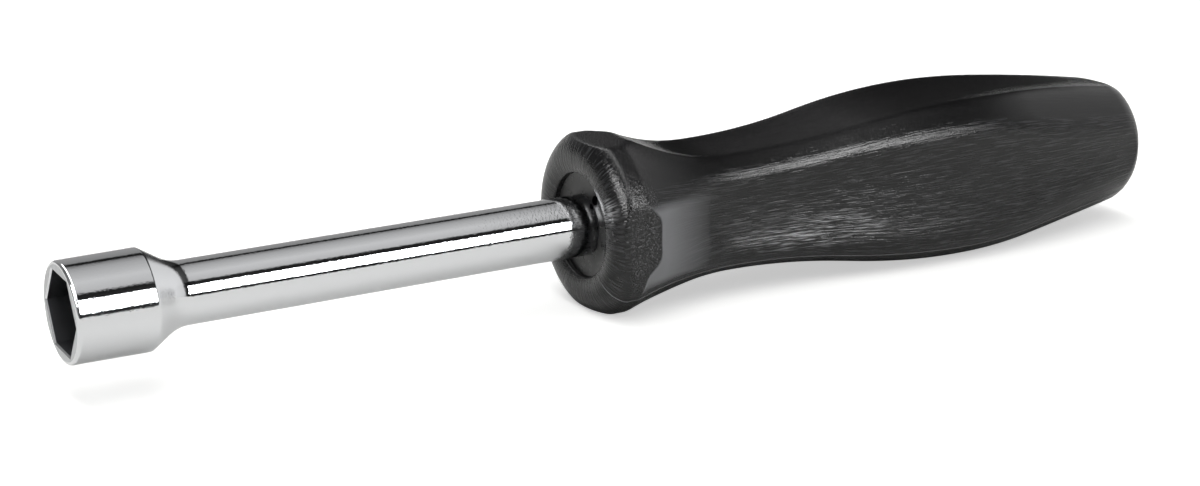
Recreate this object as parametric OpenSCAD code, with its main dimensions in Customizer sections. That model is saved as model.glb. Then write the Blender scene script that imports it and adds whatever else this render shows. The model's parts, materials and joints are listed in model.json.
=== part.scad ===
// Nut driver: a hollow steel shaft with a hexagon socket, moulded into a waisted black handle.
// Millimetres. The drive axis is X: the socket's mouth is at the origin and faces -X, the handle
// lies towards +X, and +Z is square to the handle's top flat.

/* [Nut and stud] */
// Across flats of the nut that the socket turns
nut_af = 12; // [10:0.5:13]
// Room between the nut and the hexagon, across flats
nut_clearance = 0.1; // [0.05:0.05:0.3]
// Diameter of the stud that passes up the hollow shank
stud_d = 8; // [6:0.5:9]
// Room between the stud and the bore, on the diameter
stud_clearance = 0.2; // [0.1:0.1:0.6]

/* [Socket] */
// Length of the socket from its mouth to its shoulder
socket_len = 13; // [11:0.1:20]
// Wall over the corners of the hexagon, at the mouth
socket_wall = 1.2; // [0.9:0.05:2.5]
// Growth of the socket's radius from the mouth to the shoulder
socket_taper = 0.08; // [0:0.02:0.4]
// Rounding of the mouth's outer edge
mouth_round = 0.6; // [0.2:0.1:0.8]
// Depth of the hexagon
hex_depth = 12; // [8:0.5:13]
// Chamfer round the hexagon at the mouth
lead_in = 0.25; // [0.1:0.05:0.5]
// Turn of the hexagon about the drive axis
hex_turn = 33; // [0:1:59]

/* [Shank] */
// Wall of the hollow shank
shank_wall = 1.1; // [0.9:0.1:1.6]
// Slope of the cone behind the shoulder
neck_angle = 32; // [24:1:40]
// Radius of the hollow that blends the cone into the shank
neck_fillet = 7; // [4:0.5:10]
// Length from the mouth to the floor of the handle's recess
blade_len = 91.4; // [70:0.1:150]
// Length of the shank inside the handle
tail_len = 58; // [50:1:66]
// Break of the edge at the tail's end
tail_break = 0.4; // [0.2:0.1:0.6]
// Length of the two wings pressed out of the tail
wing_len = 14; // [8:1:18]
// Height of a wing above the shank
wing_rise = 2; // [1:0.1:2.4]
// Thickness of a wing
wing_t = 2.4; // [1.6:0.1:3.5]
// Distance from the back of the wings to the tail's end
wing_inset = 2; // [1:0.5:6]

/* [Plug] */
// Length of the plug in the tail's end
plug_len = 6; // [4:0.5:12]
// Step from the bore out to the plug's seat
plug_step = 0.3; // [0.2:0.05:0.5]
// Chamfer on the plug's leading edge
plug_chamfer = 0.2; // [0.1:0.05:0.3]

/* [Handle nose and collar] */
// Diameter of the recess in the nose
recess_d = 17.8; // [15:0.1:19]
// Diameter of the ring on which the nose stands furthest forward
crown_d = 22.4; // [20.5:0.1:25]
// How far that ring stands in front of the recess floor
crown_rise = 1.5; // [1:0.1:3]
// How far the nose falls back from that ring to the collar
nose_fall = 2.8; // [2:0.05:4]
// Diameter of the collar
collar_d = 31.6; // [31:0.1:36]
// Distance across the collar's flats
collar_flats = 29; // [28:0.1:30.4]

/* [Handle grip] */
// Length of the handle behind the recess floor
grip_len = 114.2; // [108:0.1:135]
// Distance from the recess floor to the narrowest place
waist_at = 24; // [22:0.1:30]
// Diameter at the narrowest place
waist_d = 25.2; // [23:0.1:27]
// Distance across the flats at the narrowest place
waist_flats = 21; // [19.6:0.1:22]
// Distance from the recess floor to the turn from hollow to swell, at the corners
turn_at = 46; // [42:0.1:47.5]
// Distance from the recess floor to the turn from hollow to swell, at the flats
flat_turn_at = 50; // [48:0.1:54]
// Distance from the recess floor to the fullest place
swell_at = 71.9; // [68:0.1:80]
// Diameter at the fullest place
swell_d = 34.5; // [32:0.1:38]
// Distance across the flats at the fullest place
swell_flats = 28.6; // [26.5:0.1:30]
// Radius of the round flare between waist and collar
flare_r = 64; // [46:1:75]
// Radius of the hollow flats between waist and collar
flat_flare_r = 37; // [30:1:50]

/* [Handle butt] */
// Radius of the round part behind the fullest place
rear_r = 82; // [74:1:110]
// Slope of the taper that runs on to the butt
rear_angle = 10; // [9:0.5:12]
// Radius of the flats behind the fullest place
flat_rear_r = 220; // [170:5:300]
// Rounding of the butt's edge
butt_round = 6.2; // [3:0.1:7]
// Radius of the butt's dome
butt_dome_r = 28; // [22:1:60]

/* [Handle core] */
// Thickness of the core's front disc
disc_t = 3; // [2:0.5:4]
// Wall of the core over the shank
sleeve_wall = 2.1; // [1.6:0.1:2.5]
// Wall of the handle over the core, at the fullest flats
grip_wall = 4.2; // [3.5:0.1:5]
// Length of the core's full part
core_full_len = 40; // [34:1:44]
// Height of the ribs that lock the core in the handle
rib_rise = 1.1; // [0.6:0.1:1.4]
// Thickness of those ribs
rib_t = 2.4; // [1.6:0.1:4]
// Diameter of the pin hole in the front disc
pin_hole_d = 1.6; // [1:0.1:2]
// Depth of the pin hole
pin_hole_depth = 2.2; // [1:0.1:2.5]
// Place of the pin hole round the drive axis, from the side flat up towards the top flat
pin_hole_turn = 55; // [0:1:359]
// Clearance between pieces that are moulded or pressed together
seat = 0.04; // [0.02:0.01:0.08]

/* [Hidden] */
$fn = 96;
over = 1;

hex_r = (nut_af + nut_clearance) / 2 / cos(30);
bore_r = (stud_d + stud_clearance) / 2;
shank_r = bore_r + shank_wall;
socket_mouth_r = hex_r + socket_wall;
socket_r = socket_mouth_r + socket_taper;
hex_floor_angle = 45;
hex_end = hex_depth + (hex_r - bore_r) / tan(hex_floor_angle);

neck_r = shank_r + neck_fillet;
neck_end = socket_len + (socket_r - neck_r + neck_fillet / cos(neck_angle)) / tan(neck_angle);
tail_end = blade_len + tail_len;
plug_seat_r = bore_r + plug_step;
plug_front = tail_end - plug_len;
wing_r = shank_r + wing_rise;
wing_back = tail_end - wing_inset;

recess_r = recess_d / 2;
crown_r = crown_d / 2;
collar_r = collar_d / 2;
nose_r = (pow(collar_r - crown_r, 2) + pow(nose_fall, 2)) / (2 * nose_fall);
nose_front = blade_len - crown_rise;
butt_end = blade_len + grip_len;

sleeve_r = shank_r + sleeve_wall;
core_r = swell_flats / 2 - grip_wall;
core_full_end = blade_len + turn_at + core_full_len;
core_dome_r = core_r;

// Outlines are lists of [radius, place along the axis].

// Points on an arc, from one angle to another in equal steps
function arc(centre, radius, from, to, steps) =
    [for (i = [0 : steps])
        let (angle = from + (to - from) * i / steps)
        centre + radius * [cos(angle), sin(angle)]];

// The handle's long curve, from the collar over the waist and the swell to where the taper starts.
// The waist's hollow and the swell meet in a common tangent at the turn.
function long_curve(collar, waist, swell, turn, front_r, back_r, back_angle) =
    let (span = swell_at - waist_at,
         rise = swell - waist,
         both_r = (span * span + rise * rise) / (2 * rise),
         hollow_r = both_r * (turn - waist_at) / span,
         full_r = both_r - hollow_r,
         flare_angle = acos(1 - (collar - waist) / front_r),
         turn_angle = asin(span / both_r),
         waist_place = blade_len + waist_at,
         swell_place = blade_len + swell_at)
    concat(
        arc([waist + front_r, waist_place], front_r, 180 + flare_angle, 180, 10),
        arc([waist + hollow_r, waist_place], hollow_r, 180 - turn_angle / 8, 180 - turn_angle, 7),
        arc([swell - full_r, swell_place], full_r, -turn_angle * 7 / 8, 0, 7),
        arc([swell - back_r, swell_place], back_r, back_angle / 6, back_angle, 5));

// The butt: a rounded edge that touches both the taper and the dome
function butt_curve(taper_r, taper_place) =
    let (slope = tan(rear_angle),
         dome_place = butt_end - butt_dome_r,
         edge_r = taper_r - butt_round / cos(rear_angle) - slope * (dome_place - taper_place),
         reach = butt_dome_r - butt_round,
         square = 1 + slope * slope,
         root = sqrt(pow(edge_r * slope, 2) - square * (edge_r * edge_r - reach * reach)),
         ahead = (edge_r * slope + root) / square,
         centre = [edge_r - slope * ahead, dome_place + ahead],
         dome_angle = atan2(ahead, centre[0]))
    concat(
        arc(centre, butt_round, rear_angle, dome_angle, 6),
        arc([0, dome_place], butt_dome_r, dome_angle + (90 - dome_angle) / 3, 90, 2));

// The handle's outside, with the nose run on a little way inside the recess, which is cut later
function handle_outline() =
    let (nose_centre = [crown_r, nose_front + nose_r],
         outer_angle = 270 + asin((collar_r - crown_r) / nose_r),
         inner_angle = 270 - asin((crown_r - recess_r + over) / nose_r),
         nose = arc(nose_centre, nose_r, inner_angle, outer_angle, 9),
         body = long_curve(collar_r, waist_d / 2, swell_d / 2, turn_at, flare_r, rear_r, rear_angle),
         last = body[len(body) - 1])
    concat(
        [[0, nose[0][1]]],
        nose,
        body,
        butt_curve(last[0], last[1]));

function flat_outline() =
    let (rear_reach = butt_end + over - blade_len - swell_at)
    concat(
        [[collar_flats / 2, nose_front - over]],
        long_curve(collar_flats / 2, waist_flats / 2, swell_flats / 2, flat_turn_at,
            flat_flare_r, flat_rear_r, asin(rear_reach / flat_rear_r)));

function shaft_outline() = concat(
    [[0, 0]],
    arc([socket_mouth_r - mouth_round, mouth_round], mouth_round, 270, 360, 5),
    [[socket_r, socket_len]],
    arc([neck_r, neck_end], neck_fillet, 180 + neck_angle, 180, 6),
    [[shank_r, tail_end - tail_break], [shank_r - tail_break, tail_end], [0, tail_end]]);

// The core's outside, larger all round by gap where it is cut out of the handle, with the recess
// in front of it
function core_outline(gap) =
    let (disc_r = recess_r - seat + gap,
         disc_back = blade_len + disc_t + gap,
         sleeve_end = blade_len + (waist_at + turn_at) / 2,
         front = gap > 0 ? nose_front - over : blade_len)
    concat(
        [[0, front], [disc_r, front], [disc_r, disc_back], [sleeve_r + gap, disc_back]],
        [[sleeve_r + gap, sleeve_end], [core_r + gap, blade_len + turn_at]],
        arc([0, core_full_end], core_dome_r + gap, 0, 90, 8));

// Lays what is drawn along Z on the drive axis, X
module along_x() {
    rotate([0, 90, 0]) children();
}

// Two opposite wings on the shank's tail
module wings(gap) {
    slant = wing_rise;
    inner = shank_r - shank_wall / 2;
    front = wing_back - wing_len;
    half = [[inner, front - gap], [wing_r + gap, front + slant - gap],
            [wing_r + gap, wing_back - slant + gap], [inner, wing_back + gap]];
    other = [for (i = [3 : -1 : 0]) [-half[i][0], half[i][1]]];
    rotate([90, 0, 0])
        linear_extrude(wing_t + 2 * gap, center = true)
            polygon(concat(half, other));
}

// The core's outside with the four ribs that stand under the handle's corners
module core_form(gap) {
    rib_end = blade_len + turn_at;
    rotate_extrude() polygon(core_outline(gap));
    for (turn = [45, 135])
        rotate([0, 0, turn])
            translate([-sleeve_r - rib_rise - gap, -rib_t / 2 - gap, blade_len + disc_t / 2])
                cube([2 * (sleeve_r + rib_rise + gap), rib_t + 2 * gap, rib_end - blade_len - disc_t / 2]);
}

// A prism whose two opposite sides follow the flats' long curve
module flat_sides() {
    side = flat_outline();
    last = len(side) - 1;
    rotate([90, 0, 0])
        linear_extrude(2 * swell_d, center = true)
            polygon(concat(side, [for (i = [last : -1 : 0]) [-side[i][0], side[i][1]]]));
}

// The chamfer at the mouth on two opposite sides of the hexagon
module lead_in_sides(turn) {
    side = (nut_af + nut_clearance) / 2;
    outer = side + lead_in + over;
    rotate([0, 0, hex_turn + turn]) rotate([90, 0, 0])
        linear_extrude(4 * hex_r, center = true)
            polygon([[-outer, -over], [outer, -over], [side, lead_in], [-side, lead_in]]);
}

module drive_shaft() {
    color("silver") along_x() difference() {
        union() {
            rotate_extrude() polygon(shaft_outline());
            wings(0);
        }
        translate([0, 0, -over]) cylinder(r = bore_r, h = tail_end + 2 * over);
        translate([0, 0, plug_front]) cylinder(r = plug_seat_r, h = plug_len + over);
        translate([0, 0, -over]) rotate(hex_turn) cylinder(r = hex_r, h = hex_depth + over, $fn = 6);
        intersection() {
            lead_in_sides(30);
            lead_in_sides(90);
            lead_in_sides(150);
        }
        // run-out of the hexagon into the bore
        intersection() {
            translate([0, 0, hex_depth]) cylinder(r1 = hex_r, r2 = bore_r, h = hex_end - hex_depth);
            translate([0, 0, hex_depth]) rotate(hex_turn) cylinder(r = hex_r, h = hex_end, $fn = 6);
        }
    }
}

module bore_plug() {
    plug_r = plug_seat_r - seat;
    color("gray") along_x() translate([0, 0, plug_front]) rotate_extrude()
        polygon([[0, 0], [plug_r - plug_chamfer, 0], [plug_r, plug_chamfer], [plug_r, plug_len], [0, plug_len]]);
}

module handle_core() {
    hole_place = (shank_r + recess_r - seat) / 2;
    color("dimgray") along_x() difference() {
        core_form(0);
        translate([0, 0, blade_len - over]) cylinder(r = shank_r + seat, h = tail_len + over + seat);
        wings(seat);
        rotate([0, 0, 270 - pin_hole_turn]) translate([hole_place, 0, blade_len - over])
            cylinder(d = pin_hole_d, h = pin_hole_depth + over);
    }
}

module handle() {
    color("#2b2b2d") along_x() difference() {
        intersection() {
            rotate([0, 0, 45]) rotate_extrude() polygon(handle_outline());
            flat_sides();
            rotate([0, 0, 90]) flat_sides();
        }
        core_form(seat);
    }
}

drive_shaft();
bore_plug();
handle_core();
handle();
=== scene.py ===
import json
import math
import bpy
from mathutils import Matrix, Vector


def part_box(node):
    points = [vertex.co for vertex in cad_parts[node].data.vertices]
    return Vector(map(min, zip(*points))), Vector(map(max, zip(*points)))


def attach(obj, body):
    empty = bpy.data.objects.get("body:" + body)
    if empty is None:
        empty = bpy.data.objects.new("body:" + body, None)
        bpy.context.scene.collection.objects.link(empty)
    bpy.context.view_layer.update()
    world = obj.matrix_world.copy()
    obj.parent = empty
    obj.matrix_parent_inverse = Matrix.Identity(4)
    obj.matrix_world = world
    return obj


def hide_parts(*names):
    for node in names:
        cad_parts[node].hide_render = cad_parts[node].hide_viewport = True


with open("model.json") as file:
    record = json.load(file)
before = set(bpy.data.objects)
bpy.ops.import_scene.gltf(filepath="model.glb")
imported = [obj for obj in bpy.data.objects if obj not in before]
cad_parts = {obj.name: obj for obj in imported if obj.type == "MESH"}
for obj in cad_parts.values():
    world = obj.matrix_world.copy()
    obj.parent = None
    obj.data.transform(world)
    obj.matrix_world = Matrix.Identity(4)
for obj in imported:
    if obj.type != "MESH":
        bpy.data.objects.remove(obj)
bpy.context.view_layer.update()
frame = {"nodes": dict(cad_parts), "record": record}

from types import SimpleNamespace

import bmesh
import bpy
import numpy as np
from bpy.props import FloatProperty, FloatVectorProperty, IntProperty, PointerProperty
from mathutils import Matrix, Vector

bl_info = {
    "name": "Nut driver",
    "version": (1, 0, 0),
    "blender": (4, 5, 0),
    "location": "View3D > Sidebar > Nut driver",
    "description": "Builds a nut driver with a chromed hollow shank and a black moulded handle",
    "category": "Object",
}

MM = 0.001
SHAFT_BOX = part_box("drive_shaft")
PLUG_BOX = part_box("bore_plug")
CORE_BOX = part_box("handle_core")
HANDLE_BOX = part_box("handle")
STUD_BORE = next(mount for mount in frame["record"]["mounts"] if mount["name"] == "stud_bore")
# The photograph's width and focal length in pixels, the place it was taken from in millimetres, and the
# directions in which it looks and in which it is upright
PHOTO_WIDTH = 1200
PHOTO_FOCAL = 2690.3
PHOTO_PLACE = (-119.53, -379.51, 128.3)
PHOTO_AIM = (0.47008, 0.83359, -0.29008)
PHOTO_UP = (0.15158, 0.24752, 0.95695)


def to_linear(hex_colour):
    """An sRGB hex colour as linear red, green, blue and alpha."""
    channels = [int(hex_colour[i:i + 2], 16) / 255 for i in (1, 3, 5)]
    return tuple(c / 12.92 if c <= 0.04045 else ((c + 0.055) / 1.055) ** 2.4 for c in channels) + (1.0,)


def length(name, description, default):
    """A length in metres, given in millimetres."""
    return FloatProperty(name=name, description=description, default=default * MM, min=0.0,
                         unit="LENGTH", precision=5)


def angle(name, description, default):
    """An angle in radians, given in degrees."""
    return FloatProperty(name=name, description=description, default=math.radians(default), subtype="ANGLE")


def brightness(name, description, default):
    """A brightness, which is zero or more."""
    return FloatProperty(name=name, description=description, default=default, min=0.0)


def colour(name, description, default):
    """A colour given as an sRGB hex value."""
    return FloatVectorProperty(name=name, description=description, default=to_linear(default), size=4,
                               min=0.0, max=1.0, subtype="COLOR")


class ShaftSettings(bpy.types.PropertyGroup):
    across_flats: length("Across flats", "Distance across the flats of the hexagon", 12.1)
    socket_wall: length("Socket wall", "Wall over the corners of the hexagon, at the mouth", 1.2)
    socket_taper: length("Socket taper", "Growth of the socket's radius from the mouth to the shoulder", 0.08)
    socket_length: length("Socket length", "Length of the socket from its mouth to its shoulder", 13.0)
    mouth_round: length("Mouth rounding", "Rounding of the mouth's outer edge", 0.6)
    lead_in: length("Lead-in", "Chamfer round the hexagon at the mouth", 0.25)
    hexagon_depth: length("Hexagon depth", "Depth of the hexagon", 12.0)
    hexagon_turn: angle("Hexagon turn", "Turn of the hexagon about the drive axis", 33.0)
    shoulder_round: length("Shoulder rounding", "Rounding of the edge between socket and neck", 0.3)
    neck_slope: angle("Neck slope", "Slope of the cone behind the shoulder", 32.0)
    neck_fillet: length("Neck fillet", "Radius that blends the cone into the shank", 7.0)
    bore: length("Bore radius", "Radius of the hollow shank's bore", STUD_BORE["dims"]["r_mm"])
    shank: length("Shank radius", "Radius of the shank", 5.2)
    plug_step: length("Plug step", "Step from the bore out to the plug's seat", 0.3)
    tail_break: length("Tail break", "Chamfer round the tail's end", 0.4)
    chrome: colour("Chrome", "Colour of the bright chrome plate", "#e9eaec")
    mouth: colour("Mouth", "Colour of the plated face of the mouth", "#c4c5c7")
    inside: colour("Inside", "Colour of the broached steel inside the socket", "#56575a")


class HandleSettings(bpy.types.PropertyGroup):
    recess: length("Recess radius", "Radius of the recess in the nose", 8.9)
    rim_round: length("Rim rounding", "Rounding of the recess's rim", 0.3)
    crown: length("Crown radius", "Radius of the ring on which the nose stands furthest forward", 11.2)
    nose_fall: length("Nose fall", "How far the nose falls back from the crown to the collar", 2.8)
    collar: length("Collar radius", "Radius of the collar", 15.8)
    collar_flat: length("Collar flats", "Distance from the axis to a flat of the collar", 14.5)
    collar_edge: length("Collar edge", "Rounding reach of the collar's front edge", 0.45)
    collar_rear_edge: length("Collar rear edge", "Rounding reach of the edge behind the collar", 0.5)
    flat_rear_edge: length("Flat rear edge", "Rounding reach of the flats' edge behind the collar", 0.8)
    waist_at: length("Waist place", "Distance from the recess floor to the narrowest place", 24.0)
    waist: length("Waist radius", "Radius at the narrowest place", 12.6)
    waist_flat: length("Waist flats", "Distance from the axis to a flat at the narrowest place", 10.5)
    turn_at: length("Turn at the corners", "From the recess floor to where hollow turns to swell", 46.0)
    flat_turn_at: length("Turn at the flats", "From the recess floor to the same turn of the flats", 50.0)
    swell_at: length("Swell place", "Distance from the recess floor to the fullest place", 71.9)
    swell: length("Swell radius", "Radius at the fullest place", 17.25)
    swell_flat: length("Swell flats", "Distance from the axis to a flat at the fullest place", 14.3)
    flare: length("Flare radius", "Radius of the round flare between waist and collar", 64.0)
    flat_flare: length("Flat flare radius", "Radius of the hollow flats between waist and collar", 37.0)
    rear: length("Rear radius", "Radius of the round part behind the fullest place", 82.0)
    rear_slope: angle("Rear slope", "Slope of the taper that runs on to the butt", 10.0)
    flat_rear: length("Flat rear radius", "Radius of the flats behind the fullest place", 220.0)
    butt_round: length("Butt rounding", "Rounding of the butt's edge", 6.2)
    butt_dome: length("Butt dome", "Radius of the butt's dome", 28.0)
    collar_crease: length("Collar crease", "Softness of the edges of the collar's flats", 0.3)
    grip_crease: length("Grip crease", "Softness of the creases along the grip", 1.3)
    dish: length("Dish", "How far the grip's flats are hollow across, in the middle", 0.8)
    collar_dish: length("Collar dish", "How far the flats are hollow where they leave the collar", 0.18)
    seam_height: length("Seam height", "Height of the moulding seam that runs along one corner", 0.05)
    seam_width: length("Seam width", "Width over which the moulding seam falls away to each side", 0.12)
    seam_turn: angle("Seam turn", "Turn of the moulding seam about the axis, from the front flat", -43.0)
    core: length("Core radius", "Radius of the core where it is fullest", 10.1)
    sleeve: length("Sleeve radius", "Radius of the core's sleeve round the shank", 7.3)
    disc: length("Disc thickness", "Thickness of the core's front disc", 3.0)
    disc_dish: length("Disc dish", "How far the front disc is hollow between shank and edge", 0.3)
    fit: length("Fit", "Clearance between the core and what it fits", 0.04)
    pin_hole: length("Pin hole radius", "Radius of the pin hole in the front disc", 0.8)
    pin_hole_wall: length("Pin hole wall", "Plastic left between the pin hole and the shank", 0.1)
    pin_hole_depth: length("Pin hole depth", "Depth of the pin hole at its middle", 2.2)
    pin_hole_tip: length("Pin hole tip", "Height of the blunt cone at the pin hole's end", 0.2)
    pin_hole_turn: angle("Pin hole turn", "Turn of the pin hole about the axis, from the front flat", 55.0)
    around: IntProperty(name="Points around", description="Points round one ring of the handle",
                        default=248, min=96)
    plastic: colour("Plastic", "Colour of the black moulded plastic", "#0b0b0c")
    scored: colour("Scored plastic", "Colour of the sanding lines that stand out", "#404042")
    speck: colour("Specks", "Colour of the specks on the blasted collar", "#505052")
    # Bloom: a pale patch in the hollow behind the collar, partly a mould bloom and partly a painted
    # reflection
    bloom_and_painted_reflection_start: length("Bloom start", "Place along the axis where the bloom starts to fade", 99.5)
    bloom_and_painted_reflection_end: length("Bloom end", "Place along the axis where the bloom has faded", 111.0)
    collar_front: length("Collar front", "Place along the axis where the collar's specks begin", 92.0)
    collar_back: length("Collar back", "Place along the axis where the collar's specks end", 98.0)
    bloom: colour("Bloom", "Colour of the pale bloom in the hollow behind the collar", "#838487")
    # Scuff: pale lines in the rubbed places, partly wear and partly painted highlights
    scuff_and_painted_highlight: colour("Scuff", "Colour of the lines in the rubbed places", "#a8a9ab")
    core_plastic: colour("Core plastic", "Colour of the smooth core in the recess", "#0c0c0d")


class StageSettings(bpy.types.PropertyGroup):
    floor: colour("Floor", "Colour of the pale floor", "#f2f2f0")
    floor_glow: brightness("Floor glow", "Over-exposure of the floor to the camera", 0.53)
    room: brightness("Room light", "Strength of the soft light of the room", 1.0)
    overhead: brightness("Overhead light", "Brightness of the soft band overhead", 4.1)
    key: brightness("Key light", "Brightness of the panels", 10.0)


class NutDriverSettings(bpy.types.PropertyGroup):
    shaft: PointerProperty(type=ShaftSettings, name="Shaft", description="Sizes and colours of the shaft")
    handle: PointerProperty(type=HandleSettings, name="Handle", description="Sizes and colours of the handle")
    stage: PointerProperty(type=StageSettings, name="Stage", description="Floor and light")


def in_mm(group):
    """A group's sizes as plain numbers: lengths in millimetres, angles in degrees."""
    plain = SimpleNamespace()
    for prop in group.bl_rna.properties:
        value = getattr(group, prop.identifier)
        unit = getattr(prop, "unit", "NONE")
        if unit == "LENGTH":
            value = value / MM
        elif unit == "ROTATION":
            value = math.degrees(value)
        setattr(plain, prop.identifier, value)
    return plain


# Outlines are arrays of (radius, place along the drive axis), in millimetres.

def arc(centre, radius, start, end, steps):
    """Points on an arc, from one angle to another in equal steps."""
    turns = np.radians(np.linspace(start, end, steps + 1))
    return np.column_stack((centre[0] + radius * np.cos(turns), centre[1] + radius * np.sin(turns)))


def straight(start, end, steps):
    """Points on a straight run."""
    return np.linspace(start, end, steps + 1)


def joined(*runs):
    """Runs that follow each other, with each shared point kept once."""
    return np.vstack([runs[0]] + [run[1:] for run in runs[1:]])


def shortened(run, reach):
    """A run cut back at its end by reach, measured along it."""
    along = np.concatenate(([0.0], np.cumsum(np.hypot(*np.diff(run, axis=0).T))))
    stop = along[-1] - reach
    end = [np.interp(stop, along, run[:, i]) for i in (0, 1)]
    return np.vstack((run[along < stop - 1e-6], end))


def eased(first, second, reach, steps=6):
    """Two runs that meet in an edge, with that edge rounded over reach on both sides."""
    before = shortened(first, reach)
    after = shortened(second[::-1], reach)[::-1]
    share = np.linspace(0, 1, steps + 1)[1:-1, None]
    bend = (1 - share) ** 2 * before[-1] + 2 * share * (1 - share) * first[-1] + share ** 2 * after[0]
    return np.vstack((before, bend, after))


def core_outline(size, gap):
    """The core's outside from its front disc to its domed end, larger all round by gap for its room."""
    front = CORE_BOX[0].x / MM
    dome = CORE_BOX[1].x / MM - size.core
    disc_edge = size.recess - size.fit
    disc_back = front + size.disc
    sleeve_end = front + (size.waist_at + size.turn_at) / 2
    corners = [(disc_edge, front), (disc_edge, disc_back), (size.sleeve, disc_back),
               (size.sleeve, sleeve_end), (size.core, front + size.turn_at), (size.core, dome)]
    corners = np.array(corners) + (gap, 0)
    corners[1:3, 1] += gap
    runs = [straight(start, end, steps) for start, end, steps in zip(corners, corners[1:], (2, 1, 6, 6, 6))]
    return joined(*runs, arc((0, dome), size.core + gap, 0, 89, 16))


def smooth(value, start, end):
    """A step from 0 to 1 that starts and ends level."""
    share = min(max((value - start) / (end - start), 0.0), 1.0)
    return share * share * (3 - 2 * share)


def ring(radius, place, turns):
    """One ring about the drive axis, in metres. Turns run from the front flat, -Y, up to the top flat, +Z."""
    radius, place, turns = np.broadcast_arrays(radius, place, turns)
    return np.column_stack((place, -radius * np.cos(turns), radius * np.sin(turns))) * MM


def rings_along(outline, turns):
    """One ring for each point of an outline."""
    return [ring(radius, place, turns) for radius, place in outline]


def even_turns(count):
    """Angles of points spread evenly round a ring."""
    return np.arange(count) * 2 * math.pi / count


def skin(name, rings, looped=False):
    """A mesh through rings that follow each other. A ring of one point closes an end."""
    mesh = bmesh.new()
    rows = [[mesh.verts.new(point) for point in one] for one in rings]
    pairs = list(zip(rows, rows[1:] + rows[:1])) if looped else list(zip(rows, rows[1:]))
    for low, high in pairs:
        count = max(len(low), len(high))
        for i in range(count):
            j = (i + 1) % count
            corners = [low[i % len(low)], low[j % len(low)], high[j % len(high)], high[i % len(high)]]
            mesh.faces.new(list(dict.fromkeys(corners)))
    bmesh.ops.recalc_face_normals(mesh, faces=mesh.faces)
    for face in mesh.faces:
        face.smooth = True
    data = bpy.data.meshes.new(name)
    mesh.to_mesh(data)
    mesh.free()
    data.validate()
    return data


def place_piece(name, data, node, materials):
    """Puts a finished mesh in the scene in place of its CAD node."""
    piece = bpy.data.objects.new(name, data)
    bpy.context.scene.collection.objects.link(piece)
    for material in materials:
        data.materials.append(material)
    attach(piece, "root")
    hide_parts(node)
    return piece


def placing(place, across, up, back):
    """The matrix that puts an object at a place, with its axes along three directions."""
    return Matrix.Translation(place) @ Matrix((across, up, back)).transposed().to_4x4()


def add(tree, kind, inputs=None, **settings):
    """Adds one node with its settings; an input is a value, or the socket or the node that feeds it."""
    node = tree.nodes.new(kind)
    for key, value in settings.items():
        setattr(node, key, value)
    for key, value in (inputs or {}).items():
        if isinstance(value, bpy.types.Node):
            value = next(socket for socket in value.outputs if socket.enabled)
        if isinstance(value, bpy.types.NodeSocket):
            tree.links.new(value, node.inputs[key])
        else:
            node.inputs[key].default_value = value
    return node


def blank_material(name):
    """An empty material, ready for nodes."""
    material = bpy.data.materials.new(name)
    material.use_nodes = True
    tree = material.node_tree
    tree.nodes.clear()
    return material, tree


def chrome_plate(shaft):
    """Bright chrome on polished steel: a mirror, with a faint orange peel that frays hard reflections."""
    material, tree = blank_material("Bright_chrome_plate_polished")
    where = add(tree, "ShaderNodeTexCoord")
    # Orange peel of the plating, about 0.45 mm from crest to crest and a few micrometres high
    peel = add(tree, "ShaderNodeTexNoise", {
        "Vector": where.outputs["Object"], "Scale": 1 / (0.45 * MM), "Detail": 2.0, "Roughness": 0.6})
    bump = add(tree, "ShaderNodeBump", {"Height": peel, "Distance": 0.013 * MM})
    # Slow unevenness of the polishing, about 9 mm wide
    buff = add(tree, "ShaderNodeTexNoise", {
        "Vector": where.outputs["Object"], "Scale": 1 / (9 * MM), "Detail": 3.0})
    polish = add(tree, "ShaderNodeMapRange", {
        "Value": buff, "From Min": 0.3, "From Max": 0.7, "To Min": 0.03, "To Max": 0.06})
    # The polishing wheel hardly reaches the cone of the neck, so that is duller, and clears over its fillet
    shoulder = shaft.socket_length
    axes = add(tree, "ShaderNodeSeparateXYZ", {"Vector": where.outputs["Object"]})
    cone = add(tree, "ShaderNodeMapRange", {
        "Value": axes.outputs["X"], "From Min": shoulder + 2.5 * MM, "From Max": shoulder + 5 * MM,
        "To Min": 0.2, "To Max": polish})
    rough = add(tree, "ShaderNodeMapRange", {
        "Value": axes.outputs["X"], "From Min": shoulder - 0.3 * MM, "From Max": shoulder + 0.5 * MM,
        "To Min": polish, "To Max": cone})
    shader = add(tree, "ShaderNodeBsdfPrincipled", {
        "Base Color": shaft.chrome, "Metallic": 1.0, "Roughness": rough, "Normal": bump})
    add(tree, "ShaderNodeOutputMaterial", {"Surface": shader})
    return material


def satin_chrome(shaft):
    """Chrome over the turned face of the mouth: the same metal, but turning marks blur what it mirrors."""
    material, tree = blank_material("Chrome_plate_over_turned_face")
    where = add(tree, "ShaderNodeTexCoord")
    # Turning marks under the plating: blotches 0.4 mm wide
    marks = add(tree, "ShaderNodeTexNoise", {
        "Vector": where.outputs["Object"], "Scale": 1 / (0.4 * MM), "Detail": 2.0})
    rough = add(tree, "ShaderNodeMapRange", {"Value": marks, "To Min": 0.24, "To Max": 0.36})
    shader = add(tree, "ShaderNodeBsdfPrincipled", {
        "Base Color": shaft.mouth, "Metallic": 1.0, "Roughness": rough})
    add(tree, "ShaderNodeOutputMaterial", {"Surface": shader})
    return material


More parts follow.
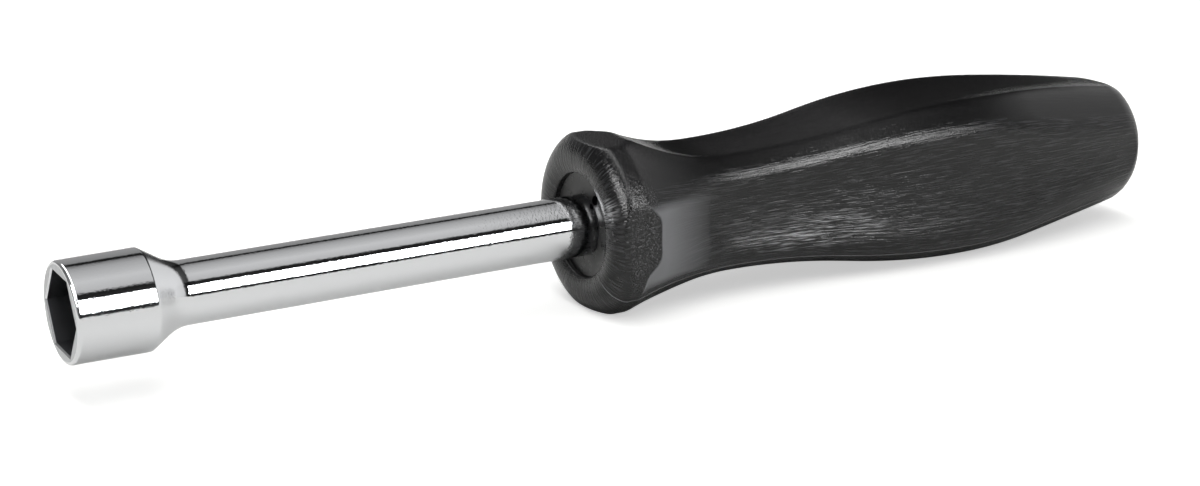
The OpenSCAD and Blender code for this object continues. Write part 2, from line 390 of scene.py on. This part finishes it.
def broached_steel(shaft):
    """Steel inside the socket, broached and left dark by heat treatment: dull, with lines along the cut."""
    material, tree = blank_material("Hardened_steel_broached")
    where = add(tree, "ShaderNodeTexCoord")
    # Broach lines along the axis: 0.3 mm apart, 6 mm long
    lines = add(tree, "ShaderNodeMapping", {
        "Vector": where.outputs["Object"], "Scale": (1 / (6 * MM), 1 / (0.3 * MM), 1 / (0.3 * MM))})
    cut = add(tree, "ShaderNodeTexNoise", {"Vector": lines, "Scale": 1.0, "Detail": 2.0})
    bump = add(tree, "ShaderNodeBump", {"Height": cut, "Distance": 0.01 * MM})
    rough = add(tree, "ShaderNodeMapRange", {"Value": cut, "To Min": 0.38, "To Max": 0.55})
    shader = add(tree, "ShaderNodeBsdfPrincipled", {
        "Base Color": shaft.inside, "Metallic": 1.0, "Roughness": rough, "Normal": bump})
    add(tree, "ShaderNodeOutputMaterial", {"Surface": shader})
    return material


def turned_steel():
    """Uncoated mild steel, turned on a lathe: fine rings about the axis and a dull shine."""
    material, tree = blank_material("Mild_steel_turned")
    where = add(tree, "ShaderNodeTexCoord")
    # Tool marks 0.15 mm apart along the axis; at a scale of 1 the wave texture's bands are 2 pi / 20 apart
    marks = add(tree, "ShaderNodeTexWave", {
        "Vector": where.outputs["Object"], "Distortion": 0.4, "Scale": 2 * math.pi / 20 / (0.15 * MM)},
        bands_direction="X")
    bump = add(tree, "ShaderNodeBump", {"Height": marks.outputs["Fac"], "Distance": 0.005 * MM})
    shader = add(tree, "ShaderNodeBsdfPrincipled", {
        "Base Color": to_linear("#8f9092"), "Metallic": 1.0, "Roughness": 0.32, "Normal": bump})
    add(tree, "ShaderNodeOutputMaterial", {"Surface": shader})
    return material


def smooth_plastic(handle):
    """Black cellulose plastic as it leaves a polished mould: smooth, a soft gloss, a trace of flow."""
    material, tree = blank_material("Cellulose_plastic_moulded_smooth")
    where = add(tree, "ShaderNodeTexCoord")
    # Flow marks of the moulding, about 2 mm wide
    flow = add(tree, "ShaderNodeTexNoise", {
        "Vector": where.outputs["Object"], "Scale": 1 / (2 * MM), "Detail": 4.0})
    rough = add(tree, "ShaderNodeMapRange", {
        "Value": flow, "From Min": 0.3, "From Max": 0.7, "To Min": 0.24, "To Max": 0.34})
    bump = add(tree, "ShaderNodeBump", {"Height": flow, "Distance": 0.01 * MM})
    shader = add(tree, "ShaderNodeBsdfPrincipled", {
        "Base Color": handle.core_plastic, "IOR": 1.48, "Roughness": rough, "Normal": bump})
    add(tree, "ShaderNodeOutputMaterial", {"Surface": shader})
    return material


def sanded_plastic(handle):
    """Black cellulose plastic, moulded and then sanded along its length: satin, with fine lines that run from
    the nose to the butt and break the light into short bright dashes. The hollow behind the collar, which
    sanding doesn't reach, keeps a pale bloom of the mould that is also a painted reflection, and the rubbed
    places are drawn pale, partly as wear and partly as painted highlights."""
    material, tree = blank_material("Cellulose_plastic_sanded_lengthwise")
    where = add(tree, "ShaderNodeTexCoord")
    axes = add(tree, "ShaderNodeSeparateXYZ", {"Vector": where.outputs["Object"]})
    across = add(tree, "ShaderNodeCombineXYZ", {"Y": axes.outputs["Y"], "Z": axes.outputs["Z"]})
    spread = add(tree, "ShaderNodeVectorMath", {0: across}, operation="LENGTH")
    facing = add(tree, "ShaderNodeVectorMath", {0: across}, operation="NORMALIZE")
    # Along the surface from nose to butt, whichever way it faces
    along = add(tree, "ShaderNodeMath", {0: axes.outputs["X"], 1: spread}, operation="ADD")
    strokes = []
    # Sanding lines, long and short ones along the grip and others on the front of the nose: width at the
    # radius below, and length, in millimetres. Real ones are finer: these are the finest that show.
    width_radius = 15
    for width, reach in ((0.3, 14.0), (0.22, 4.0), (0.45, 5.0)):
        turned = add(tree, "ShaderNodeVectorMath", {
            0: facing, "Scale": width_radius / width}, operation="SCALE")
        slow = add(tree, "ShaderNodeMath", {0: along, 1: 1 / (reach * MM)}, operation="MULTIPLY")
        shift = add(tree, "ShaderNodeCombineXYZ", {"X": slow})
        spot = add(tree, "ShaderNodeVectorMath", {0: turned, 1: shift}, operation="ADD")
        strokes.append(add(tree, "ShaderNodeTexNoise", {"Vector": spot, "Scale": 1.0, "Detail": 1.0}))
    long_lines, short_lines, nose_lines = strokes
    # Grit left by the sanding, 0.24 mm
    grit = add(tree, "ShaderNodeTexNoise", {
        "Vector": where.outputs["Object"], "Scale": 1 / (0.24 * MM), "Detail": 1.0})
    # Worn and polished places, about 12 mm wide
    worn = add(tree, "ShaderNodeTexNoise", {
        "Vector": where.outputs["Object"], "Scale": 1 / (12 * MM), "Detail": 3.0})
    # The two side flats are known by facing sideways, and the hollow in them in front of the waist by leaning
    # to the butt. There the pale bloom shows, partly a mould bloom and partly a painted reflection: it fades
    # towards the waist and ends below the flat's upper edge.
    lean = add(tree, "ShaderNodeSeparateXYZ", {"Vector": where.outputs["Normal"]})
    beside = add(tree, "ShaderNodeMath", {0: lean.outputs["Y"]}, operation="ABSOLUTE")
    flat = add(tree, "ShaderNodeMapRange", {
        "Value": beside, "From Min": 0.74, "From Max": 0.86}, interpolation_type="SMOOTHSTEP")
    fading = add(tree, "ShaderNodeMapRange", {
        "Value": axes.outputs["X"], "From Min": handle.bloom_and_painted_reflection_start, "From Max": handle.bloom_and_painted_reflection_end,
        "To Min": flat, "To Max": 0.0})
    lower = add(tree, "ShaderNodeMapRange", {
        "Value": axes.outputs["Z"], "From Min": 4.2 * MM, "From Max": 6.4 * MM, "To Min": fading,
        "To Max": 0.0}, interpolation_type="SMOOTHSTEP")
    bloom = add(tree, "ShaderNodeMapRange", {
        "Value": lean.outputs["X"], "From Min": 0.08, "From Max": 0.2, "To Max": lower},
        interpolation_type="SMOOTHSTEP")
    # The collar is blasted and not sanded: specks in place of lines, which take over within a millimetre
    fade = 0.5 * MM
    before = add(tree, "ShaderNodeMapRange", {
        "Value": axes.outputs["X"], "From Min": handle.collar_front - fade,
        "From Max": handle.collar_front + fade})
    collar = add(tree, "ShaderNodeMapRange", {
        "Value": axes.outputs["X"], "From Min": handle.collar_back - fade,
        "From Max": handle.collar_back + fade, "To Min": before, "To Max": 0.0})
    specks = add(tree, "ShaderNodeMix", {"Factor": collar, "A": short_lines, "B": grit})
    # The front of the nose is known by facing the socket
    nose = add(tree, "ShaderNodeMapRange", {
        "Value": lean.outputs["X"], "From Min": -0.45, "From Max": -0.8}, interpolation_type="SMOOTHSTEP")
    marks = add(tree, "ShaderNodeMix", {"Factor": nose, "A": specks, "B": nose_lines})
    # On the side flats and the front of the nose raised lines and specks catch light by themselves
    sanded = add(tree, "ShaderNodeMath", {0: flat, 1: nose}, operation="MAXIMUM")
    raised = add(tree, "ShaderNodeMapRange", {
        "Value": marks, "From Min": 0.48, "From Max": 0.75, "To Max": sanded})
    tone = add(tree, "ShaderNodeMix", {
        "Factor": collar, "A": handle.scored, "B": handle.speck}, data_type="RGBA")
    scored = add(tree, "ShaderNodeMix", {
        "Factor": raised, "A": handle.plastic, "B": tone}, data_type="RGBA")
    seam_line = (0, -math.cos(handle.seam_turn), math.sin(handle.seam_turn))
    aside = add(tree, "ShaderNodeVectorMath", {0: across, 1: seam_line}, operation="CROSS_PRODUCT")
    off = add(tree, "ShaderNodeVectorMath", {0: aside}, operation="LENGTH")
    # The seam is about 0.2 mm wide, and shows where the surface is at least 11 to 12 mm off the axis
    near = add(tree, "ShaderNodeMapRange", {
        "Value": off, "From Min": 0.08 * MM, "From Max": 0.14 * MM, "To Min": 0.8, "To Max": 0.0})
    low = add(tree, "ShaderNodeVectorMath", {0: across, 1: seam_line}, operation="DOT_PRODUCT")
    seam = add(tree, "ShaderNodeMapRange", {
        "Value": low, "From Min": 11 * MM, "From Max": 12 * MM, "To Max": near})
    # The seam is drawn in the pale bloom colour: a painted highlight along its crest
    edged = add(tree, "ShaderNodeMix", {"Factor": seam, "A": scored, "B": handle.bloom}, data_type="RGBA")
    # Places rubbed pale along the lines, on the nose and in the hollow of the waist, partly wear and partly
    # painted
    # highlights: centre, how far they reach each way, in millimetres, and how high a line must stand to be
    # rubbed
    scuffed_and_painted_highlight = edged
    for centre, reach, lowest in (
            ((90.8, -10.7, 4.9), (3, 2.7, 2.7), 0.46),
            ((132, -9.9, -4.6), (19, 5, 3.4), 0.53)):
        apart = add(tree, "ShaderNodeVectorMath", {
            0: where.outputs["Object"], 1: Vector(centre) * MM}, operation="SUBTRACT")
        scaled = add(tree, "ShaderNodeVectorMath", {0: apart, 1: Vector(reach) * MM}, operation="DIVIDE")
        away = add(tree, "ShaderNodeVectorMath", {0: scaled}, operation="LENGTH")
        crests = add(tree, "ShaderNodeMapRange", {
            "Value": short_lines, "From Min": lowest, "From Max": lowest + 0.14})
        rubbed_and_painted_highlight = add(tree, "ShaderNodeMapRange", {
            "Value": away, "From Min": 0.4, "To Min": crests, "To Max": 0.0})
        scuffed_and_painted_highlight = add(tree, "ShaderNodeMix", {
            "Factor": rubbed_and_painted_highlight, "A": scuffed_and_painted_highlight, "B": handle.scuff_and_painted_highlight}, data_type="RGBA")
    # The pale bloom behind the collar is partly a mould bloom and partly a painted reflection
    paint = add(tree, "ShaderNodeMix", {"Factor": bloom, "A": scuffed_and_painted_highlight, "B": handle.bloom}, data_type="RGBA")
    # Lines and grit as relief, which the pale bloom fills in part; that bloom is also a painted reflection
    lines = add(tree, "ShaderNodeMath", {0: long_lines, 1: marks}, operation="ADD")
    height = add(tree, "ShaderNodeMath", {0: grit, 1: 0.8, 2: lines}, operation="MULTIPLY_ADD")
    left = add(tree, "ShaderNodeMapRange", {"Value": bloom, "To Min": 1.0, "To Max": 0.25})
    bump = add(tree, "ShaderNodeBump", {"Height": height, "Distance": 0.06 * MM, "Strength": left})
    rough = add(tree, "ShaderNodeMapRange", {
        "Value": worn, "From Min": 0.3, "From Max": 0.7, "To Min": 0.15, "To Max": 0.21})
    shader = add(tree, "ShaderNodeBsdfPrincipled", {
        "Base Color": paint, "IOR": 1.48, "Roughness": rough, "Normal": bump})
    add(tree, "ShaderNodeOutputMaterial", {"Surface": shader})
    return material


def pale_paper(stage):
    """Matt white paper, over-exposed a little to the camera, as shops do, but not in reflections."""
    material, tree = blank_material("White_paper_matt")
    where = add(tree, "ShaderNodeTexCoord")
    # Paper fibres, too fine to show: 0.5 mm
    fibre = add(tree, "ShaderNodeTexNoise", {"Vector": where.outputs["Object"], "Scale": 1 / (0.5 * MM)})
    rough = add(tree, "ShaderNodeMapRange", {"Value": fibre, "To Min": 0.9, "To Max": 1.0})
    rays = add(tree, "ShaderNodeLightPath")
    lift = add(tree, "ShaderNodeMath", {
        0: rays.outputs["Is Camera Ray"], 1: stage.floor_glow}, operation="MULTIPLY")
    shader = add(tree, "ShaderNodeBsdfPrincipled", {
        "Base Color": stage.floor, "Roughness": rough, "Specular IOR Level": 0.0,
        "Emission Color": (1, 1, 1, 1), "Emission Strength": lift})
    add(tree, "ShaderNodeOutputMaterial", {"Surface": shader})
    return material


class NUTDRIVER_OT_drive_shaft(bpy.types.Operator):
    """Make the chromed shaft: socket with its hexagon, shoulder, neck and hollow shank"""
    bl_idname = "nut_driver.drive_shaft"
    bl_label = "Drive shaft"

    def execute(self, context):
        settings = context.scene.nut_driver.shaft
        size = in_mm(settings)
        corner = size.across_flats / 2 / math.cos(math.radians(30))
        mouth = corner + size.socket_wall
        shoulder = mouth + size.socket_taper
        tail = SHAFT_BOX[1].x / MM
        plug_front = PLUG_BOX[0].x / MM
        seat = size.bore + size.plug_step
        # Points start on a corner of the hexagon, with the same number to each side
        per_side = 32
        turns = math.radians(270 - size.hexagon_turn) + even_turns(6 * per_side)
        side = (np.arange(6 * per_side) % per_side - per_side / 2) * math.pi / (3 * per_side)
        hexagon = size.across_flats / 2 / np.cos(side)

        neck_axis = size.shank + size.neck_fillet
        slope = math.radians(size.neck_slope)
        neck_run = (shoulder - neck_axis + size.neck_fillet / math.cos(slope)) / math.tan(slope)
        neck_end = size.socket_length + neck_run
        fillet = arc((neck_axis, neck_end), size.neck_fillet, 180 + size.neck_slope, 180, 16)
        front = joined(arc((mouth - size.mouth_round, size.mouth_round), size.mouth_round, 270, 360, 10),
                       straight((mouth, size.mouth_round), (shoulder, size.socket_length), 12))
        neck = joined(straight((shoulder, size.socket_length), fillet[0], 6), fillet,
                      straight(fillet[-1], (size.shank, tail - size.tail_break), 24),
                      straight((size.shank, tail - size.tail_break), (size.shank - size.tail_break, tail), 1))
        outside = eased(front, neck, size.shoulder_round)
        rings = [ring(hexagon + size.lead_in / np.cos(side), 0, turns)]
        rings += rings_along(outside, turns)
        rings += rings_along(((seat, tail), (seat, plug_front), (size.bore, plug_front),
                              (size.bore, size.hexagon_depth + corner - size.bore)), turns)
        rings += [ring(hexagon, size.hexagon_depth + corner - hexagon, turns),
                  ring(hexagon, size.lead_in, turns)]
        data = skin("drive_shaft_chromed", rings, looped=True)
        data.set_sharp_from_angle(angle=math.radians(32))
        place_piece("drive_shaft_chromed", data, "drive_shaft",
                    [chrome_plate(settings), broached_steel(settings), satin_chrome(settings)])
        # Bore and hexagon are bare steel; the mouth's face is satin, and the chamfer inside it bright again
        for face in data.polygons:
            row = face.index // len(turns)
            face.material_index = 2 if row == 0 else int(len(outside) < row < len(rings) - 1)
        return {"FINISHED"}


class NUTDRIVER_OT_bore_plug(bpy.types.Operator):
    """Give the plug in the tail's end its turned steel"""
    bl_idname = "nut_driver.bore_plug"
    bl_label = "Bore plug"

    def execute(self, context):
        plug = frame["nodes"]["bore_plug"]
        plug.data.materials.clear()
        plug.data.materials.append(turned_steel())
        return {"FINISHED"}


class NUTDRIVER_OT_handle_core(bpy.types.Operator):
    """Make the moulded core: dished front disc with its pin hole, sleeve and full body"""
    bl_idname = "nut_driver.handle_core"
    bl_label = "Handle core"

    def execute(self, context):
        settings = context.scene.nut_driver.handle
        size = in_mm(settings)
        shaft = in_mm(context.scene.nut_driver.shaft)
        front = CORE_BOX[0].x / MM
        pocket = shaft.shank + size.fit
        pocket_end = SHAFT_BOX[1].x / MM + size.fit
        outside = core_outline(size, 0)
        turns = even_turns(128)
        # The floor of the recess is dished: lowest half way between shank and wall
        floor = straight((pocket, front), outside[0], 12)
        floor[:, 1] += size.disc_dish * (1 - np.linspace(-1, 1, len(floor)) ** 2)
        rings = [ring(0, pocket_end, turns[:1]), ring(pocket, pocket_end, turns)]
        rings += rings_along(joined(floor, outside), turns)
        rings.append(ring(0, CORE_BOX[1].x / MM, turns[:1]))
        data = skin("handle_core_moulded", rings)
        piece = place_piece("handle_core_moulded", data, "handle_core",
                            [smooth_plastic(settings)])
        self.drill_pin_hole(context, piece, size, pocket + size.pin_hole_wall + size.pin_hole, front)
        return {"FINISHED"}

    @staticmethod
    def drill_pin_hole(context, piece, size, place, front):
        """Cuts the blind pin hole beside the shank, with the drill's blunt tip at its end."""
        turn = math.radians(size.pin_hole_turn)
        turns = even_turns(24)
        centre = Vector((0, -place * math.cos(turn), place * math.sin(turn))) * MM
        # The drill starts well clear of the disc
        start = front - 1
        tip = front + size.pin_hole_depth
        rings = [ring(0, start, turns[:1]), ring(size.pin_hole, start, turns),
                 ring(size.pin_hole, tip - size.pin_hole_tip, turns), ring(0, tip, turns[:1])]
        drill = bpy.data.objects.new("pin_hole_drill", skin("pin_hole_drill", rings))
        drill.location = centre
        context.scene.collection.objects.link(drill)
        cut = piece.modifiers.new("pin_hole", "BOOLEAN")
        cut.operation = "DIFFERENCE"
        cut.object = drill
        cut.solver = "EXACT"
        context.view_layer.update()
        drilled = bpy.data.meshes.new_from_object(piece.evaluated_get(context.evaluated_depsgraph_get()))
        piece.modifiers.clear()
        plain = piece.data
        piece.data = drilled
        bpy.data.meshes.remove(plain)
        tool = drill.data
        bpy.data.objects.remove(drill)
        bpy.data.meshes.remove(tool)
        drilled.set_sharp_from_angle(angle=math.radians(40))


class NUTDRIVER_OT_handle(bpy.types.Operator):
    """Make the moulded handle: nose, collar with four flats, waist, swelling grip and domed butt"""
    bl_idname = "nut_driver.handle"
    bl_label = "Handle"

    def execute(self, context):
        settings = context.scene.nut_driver.handle
        size = in_mm(settings)
        front = CORE_BOX[0].x / MM
        outside = self.round_outline(size, front)
        flats = self.flat_outline(size, front)
        room = core_outline(size, size.fit)
        turns = self.turns_around(size)
        rings = [ring(0, CORE_BOX[1].x / MM + size.fit, turns[:1])]
        rings += rings_along(room[::-1], turns)
        rings += self.flatted_rings(size, outside[1:-1], flats, turns, front)
        rings.append(ring(0, outside[-1][1], turns[:1]))
        data = skin("handle_moulded", rings)
        data.set_sharp_from_angle(angle=math.radians(50))
        place_piece("handle_moulded", data, "handle", [sanded_plastic(settings)])
        return {"FINISHED"}

    @staticmethod
    def turns_around(size):
        """Angles of the points on a ring, closer together at the seam."""
        even = even_turns(size.around)
        # The seam's own points, in degrees from it; even ones that are too near to them make way
        near = np.radians([0.0, 0.2, 0.45, 0.8])
        seams = list(math.radians(size.seam_turn) % (2 * math.pi) + np.concatenate((-near[1:], near)))
        far = [turn for turn in even if min(abs(turn - seam) for seam in seams) > math.radians(0.4)]
        return np.sort(np.array(far + seams))

    @staticmethod
    def long_run(size, front, collar, waist, swell, turn, flare, rear, rear_turn):
        """The long curve from the collar over waist and swell to where the taper starts, in four arcs."""
        span = size.swell_at - size.waist_at
        rise = swell - waist
        both = (span ** 2 + rise ** 2) / (2 * rise)
        hollow = both * (turn - size.waist_at) / span
        full = both - hollow
        flare_turn = math.degrees(math.acos(1 - (collar - waist) / flare))
        middle_turn = math.degrees(math.asin(span / both))
        waist_place = front + size.waist_at
        swell_place = front + size.swell_at
        return joined(arc((waist + flare, waist_place), flare, 180 + flare_turn, 180, 90),
                      arc((waist + hollow, waist_place), hollow, 180, 180 - middle_turn, 40),
                      arc((swell - full, swell_place), full, -middle_turn, 0, 40),
                      arc((swell - rear, swell_place), rear, 0, rear_turn, 24))

    def round_outline(self, size, front):
        """The handle's outline through its corners, from the recess's wall to the tip of the butt."""
        nose_front = HANDLE_BOX[0].x / MM
        nose = ((size.collar - size.crown) ** 2 + size.nose_fall ** 2) / (2 * size.nose_fall)
        inner = math.degrees(math.asin((size.crown - size.recess) / nose))
        outer = math.degrees(math.asin((size.collar - size.crown) / nose))
        nose_run = arc((size.crown, nose_front + nose), nose, 270 - inner, 270 + outer, 48)
        wall = straight((size.recess, front), nose_run[0], 6)
        body = self.long_run(size, front, size.collar, size.waist, size.swell, size.turn_at,
                             size.flare, size.rear, size.rear_slope)
        barrel = straight(nose_run[-1], body[0], 16)
        butt = self.butt_run(size, body[-1])
        taper = straight(body[-1], butt[0], 10)
        first = eased(wall, nose_run, size.rim_round)
        second = eased(first, barrel, size.collar_edge, 8)
        third = eased(second, body, size.collar_rear_edge, 8)
        return joined(third, taper, butt)

    @staticmethod
    def butt_run(size, last):
        """The butt: a rounded edge that touches both the taper and the dome."""
        taper = math.radians(size.rear_slope)
        slope = math.tan(taper)
        dome_place = HANDLE_BOX[1].x / MM - size.butt_dome
        edge = last[0] - size.butt_round / math.cos(taper) - slope * (dome_place - last[1])
        reach = size.butt_dome - size.butt_round
        square = 1 + slope ** 2
        ahead = (edge * slope + math.sqrt((edge * slope) ** 2 - square * (edge ** 2 - reach ** 2))) / square
        centre = (edge - slope * ahead, dome_place + ahead)
        dome_turn = math.degrees(math.atan2(ahead, centre[0]))
        return joined(arc(centre, size.butt_round, size.rear_slope, dome_turn, 28),
                      arc((0, dome_place), size.butt_dome, dome_turn, 90, 20))

    def flat_outline(self, size, front):
        """The line along the middle of a flat, from in front of the nose to behind the butt."""
        reach = (HANDLE_BOX[1].x / MM + 1 - front - size.swell_at) / size.flat_rear
        body = self.long_run(size, front, size.collar_flat, size.waist_flat, size.swell_flat,
                             size.flat_turn_at, size.flat_flare, size.flat_rear,
                             math.degrees(math.asin(reach)))
        lead = straight((size.collar_flat, front - 3), body[0], 20)
        return eased(lead, body, size.flat_rear_edge, 8)

    @staticmethod
    def flatted_rings(size, outline, flats, turns, front):
        """Rings of the round outline with four flats cut in, their creases rounded, and the seam laid on."""
        # Millimetres behind the recess floor: where the creases soften, and where the flats' hollow grows,
        # first as they leave the collar and then before the waist
        softening = (front + 6, front + 18)
        hollowing = ((6, 9, size.collar_dish), (11, 19, size.dish - size.collar_dish))
        nose_end = front + 3
        off = (turns + math.pi / 4) % (math.pi / 2) - math.pi / 4
        seam_off = (turns - math.radians(size.seam_turn) + math.pi) % (2 * math.pi) - math.pi
        run = np.gradient(outline, axis=0)
        lean = np.abs(run[:, 1]) / np.maximum(np.hypot(run[:, 0], run[:, 1]), 1e-9)
        flat_lean = np.gradient(flats[:, 1]) / np.hypot(np.gradient(flats[:, 0]), np.gradient(flats[:, 1]))
        rings = []
        for (radius, place), tilt in zip(outline, lean):
            flat = np.interp(place, flats[:, 1], flats[:, 0])
            flat_tilt = np.interp(place, flats[:, 1], flat_lean)
            soft = np.interp(place, softening, (size.collar_crease, size.grip_crease))
            dish = sum(depth * smooth(place, front + start, front + end) for start, end, depth in hollowing)
            half = math.sqrt(max(radius ** 2 - flat ** 2, 1e-6))
            # A flat that runs out at the butt loses its hollow with its width
            dish = min(dish, half / 8)
            # The surface lies between 0.6 of the sharp shape and all of it: that span is halved 26 times
            sharp = np.minimum(radius, flat / np.cos(off))
            low, high = sharp * 0.6, sharp.copy()
            for _ in range(26):
                guess = (low + high) / 2
                to_round = (guess - radius) * max(tilt, 0.05)
                hollow = dish * np.maximum(1 - (guess * np.sin(off) / half) ** 2, 0)
                to_flat = (guess * np.cos(off) - flat + hollow) * flat_tilt
                blend = np.maximum(soft - np.abs(to_round - to_flat), 0) ** 2 / (4 * soft)
                inside = np.maximum(to_round, to_flat) + blend < 0
                low, high = np.where(inside, guess, low), np.where(inside, high, guess)
            shape = (low + high) / 2
            bead = size.seam_height * np.exp(-((seam_off * shape / size.seam_width) ** 2))
            ahead = math.sqrt(1 - tilt ** 2) if place < nose_end else 0.0
            rings.append(ring(shape + bead * tilt, place - bead * ahead, turns))
        return rings


class NUTDRIVER_OT_stage(bpy.types.Operator):
    """Lay the pale floor, light the room and set the camera where the photograph was taken"""
    bl_idname = "nut_driver.stage"
    bl_label = "Stage"

    def execute(self, context):
        settings = context.scene.nut_driver.stage
        self.lay_floor(context, settings)
        self.light_room(context, settings)
        self.set_camera(context)
        context.scene.view_settings.view_transform = "Standard"
        return {"FINISHED"}

    @staticmethod
    def lay_floor(context, settings):
        """A wide pale sheet under the tool, which rests on the flats of its collar."""
        sheet = bmesh.new()
        bmesh.ops.create_grid(sheet, x_segments=8, y_segments=8, size=6.0)
        data = bpy.data.meshes.new("pale_floor")
        sheet.to_mesh(data)
        sheet.free()
        floor = bpy.data.objects.new("pale_floor", data)
        # A hair below the flats, so that no two faces share a plane
        floor.location.z = HANDLE_BOX[0].z - 0.02 * MM
        context.scene.collection.objects.link(floor)
        data.materials.append(pale_paper(settings))

    def light_room(self, context, settings):
        """Soft light that changes from the front over the top to the back, a band overhead that lights the
        floor, and panels that only reflections show."""
        world = bpy.data.worlds.new("soft_studio")
        context.scene.world = world
        world.use_nodes = True
        tree = world.node_tree
        tree.nodes.clear()
        where = add(tree, "ShaderNodeTexCoord")
        axes = add(tree, "ShaderNodeSeparateXYZ", {"Vector": where.outputs["Generated"]})
        ahead = add(tree, "ShaderNodeMath", {0: axes.outputs["Y"], 1: -1.0}, operation="MULTIPLY")
        rise = add(tree, "ShaderNodeMath", {0: axes.outputs["Z"], 1: ahead}, operation="ARCTAN2")
        share = add(tree, "ShaderNodeMapRange", {"Value": rise, "From Min": -math.pi, "From Max": math.pi})
        # Degrees about the tool's length, from the front horizon over the top to the back, and brightness
        height = add(tree, "ShaderNodeValToRGB", {"Fac": share})
        self.set_stops(height, [((turn + 180) / 360, bright, 1) for turn, bright in (
            (-179, 0.8), (-1, 0.8), (0, 0.02), (8, 0.02), (9, 0.05), (37, 0.05), (38, 0.015), (51, 0.015),
            (55, 0.55), (79, 0.66), (92, 0.56), (107, 0.47), (116, 0.4), (126, 0.24), (130, 0.01),
            (137, 0.01), (140, 0.26), (163, 0.32), (179, 0.34))])
        # From socket to butt: the ends' own brightness, and the share that is left of the light above
        side = add(tree, "ShaderNodeMapRange", {
            "Value": axes.outputs["X"], "From Min": -1.0, "From Max": 1.0})
        ends = add(tree, "ShaderNodeValToRGB", {"Fac": side})
        self.set_stops(ends, [((x + 1) / 2, bright, left) for x, bright, left in (
            (-1, 0.5, 0.1), (-0.9, 0.25, 0.1), (-0.7, 0.1, 0.2), (-0.35, 0.1, 0.4), (-0.25, 0.0, 1),
            (0.455, 0.0, 1), (0.49, 0.0, 0.08), (0.68, 0.02, 0.1), (0.75, 0.7, 0.1), (1, 0.8, 0.1))])
        above = add(tree, "ShaderNodeMix", {
            "Factor": ends.outputs["Alpha"], "A": (0, 0, 0, 1), "B": height}, data_type="RGBA")
        room = add(tree, "ShaderNodeMix", {
            "Factor": 1.0, "A": above, "B": ends}, data_type="RGBA", blend_type="ADD")
        # A soft band across the tool, overhead, gives the floor its light
        beside = add(tree, "ShaderNodeMath", {0: axes.outputs["X"], 1: 0.1}, operation="ADD")
        off = add(tree, "ShaderNodeMath", {0: beside}, operation="ABSOLUTE")
        over = add(tree, "ShaderNodeMapRange", {
            "Value": axes.outputs["Z"], "From Min": 0.55, "From Max": 0.75, "To Max": settings.overhead})
        band = add(tree, "ShaderNodeMapRange", {
            "Value": off, "From Min": 0.1, "From Max": 0.2, "To Min": over, "To Max": 0.0})
        lit = add(tree, "ShaderNodeMix", {
            "Factor": 1.0, "A": room, "B": band}, data_type="RGBA", blend_type="ADD")
        glow = add(tree, "ShaderNodeBackground", {"Color": lit, "Strength": settings.room})
        add(tree, "ShaderNodeOutputWorld", {"Surface": glow})
        key = settings.key
        # Soft panels: place and what they face, in metres, their long edge, width, height and brightness
        for name, place, facing, edge, wide, tall, bright in (
                ("front_panel", (0.40, -0.92, 0.395), (0.40, 0, 0), (1, 0, 0), 0.62, 0.49, key),
                ("nose_panel", (-0.72, -0.3, 0.5), (0.09, 0, 0), (0, 0.87, 0.5), 0.7, 0.13, key * 2)):
            self.hang_panel(context, name, Vector(place), Vector(facing), Vector(edge), wide, tall, bright)

    @staticmethod
    def set_stops(ramp, stops):
        """Gives a colour ramp its stops: place, brightness and alpha."""
        elements = ramp.color_ramp.elements
        while len(elements) < len(stops):
            elements.new(1.0)
        for element, (place, bright, alpha) in zip(elements, stops):
            element.position = place
            element.color = (bright, bright, bright, alpha)

    @staticmethod
    def hang_panel(context, name, place, facing, edge, wide, tall, bright):
        """A soft panel with its long edge along edge, turned to what it faces."""
        lamp = bpy.data.lights.new(name, "AREA")
        lamp.shape = "RECTANGLE"
        lamp.size, lamp.size_y = wide, tall
        # The power that gives a panel of this size its brightness
        lamp.energy = bright * math.pi * wide * tall
        panel = bpy.data.objects.new(name, lamp)
        back = (place - facing).normalized()
        up = back.cross(edge).normalized()
        panel.matrix_world = placing(place, up.cross(back), up, back)
        panel.visible_camera = False
        panel.visible_diffuse = False
        context.scene.collection.objects.link(panel)

    @staticmethod
    def set_camera(context):
        """The photograph's place, aim and lens, solved from the tool's own round edges and hexagon."""
        lens = bpy.data.cameras.new("photo_camera")
        lens.sensor_fit = "HORIZONTAL"
        lens.sensor_width = 36.0
        lens.lens = PHOTO_FOCAL / PHOTO_WIDTH * lens.sensor_width
        lens.clip_start, lens.clip_end = 0.01, 30.0
        camera = bpy.data.objects.new("photo_camera", lens)
        aim = Vector(PHOTO_AIM).normalized()
        right = aim.cross(Vector(PHOTO_UP)).normalized()
        camera.matrix_world = placing(Vector(PHOTO_PLACE) * MM, right, right.cross(aim), -aim)
        context.scene.collection.objects.link(camera)
        context.scene.camera = camera


class NUTDRIVER_PT_pieces(bpy.types.Panel):
    """Lists the nut driver's pieces and the stage"""
    bl_idname = "NUTDRIVER_PT_pieces"
    bl_label = "Nut driver"
    bl_space_type = "VIEW_3D"
    bl_region_type = "UI"
    bl_category = "Nut driver"

    def draw(self, context):
        for operator in MAKERS:
            self.layout.operator(operator.bl_idname)


MAKERS = (NUTDRIVER_OT_drive_shaft, NUTDRIVER_OT_bore_plug, NUTDRIVER_OT_handle_core, NUTDRIVER_OT_handle,
          NUTDRIVER_OT_stage)
CLASSES = (ShaftSettings, HandleSettings, StageSettings, NutDriverSettings) + MAKERS + (NUTDRIVER_PT_pieces,)


def register():
    for one in CLASSES:
        bpy.utils.register_class(one)
    bpy.types.Scene.nut_driver = PointerProperty(type=NutDriverSettings)


def unregister():
    del bpy.types.Scene.nut_driver
    for one in reversed(CLASSES):
        bpy.utils.unregister_class(one)


def main():
    register()
    bpy.ops.nut_driver.drive_shaft()
    bpy.ops.nut_driver.bore_plug()
    bpy.ops.nut_driver.handle_core()
    bpy.ops.nut_driver.handle()
    bpy.ops.nut_driver.stage()


if __name__ == "__main__":
    main()
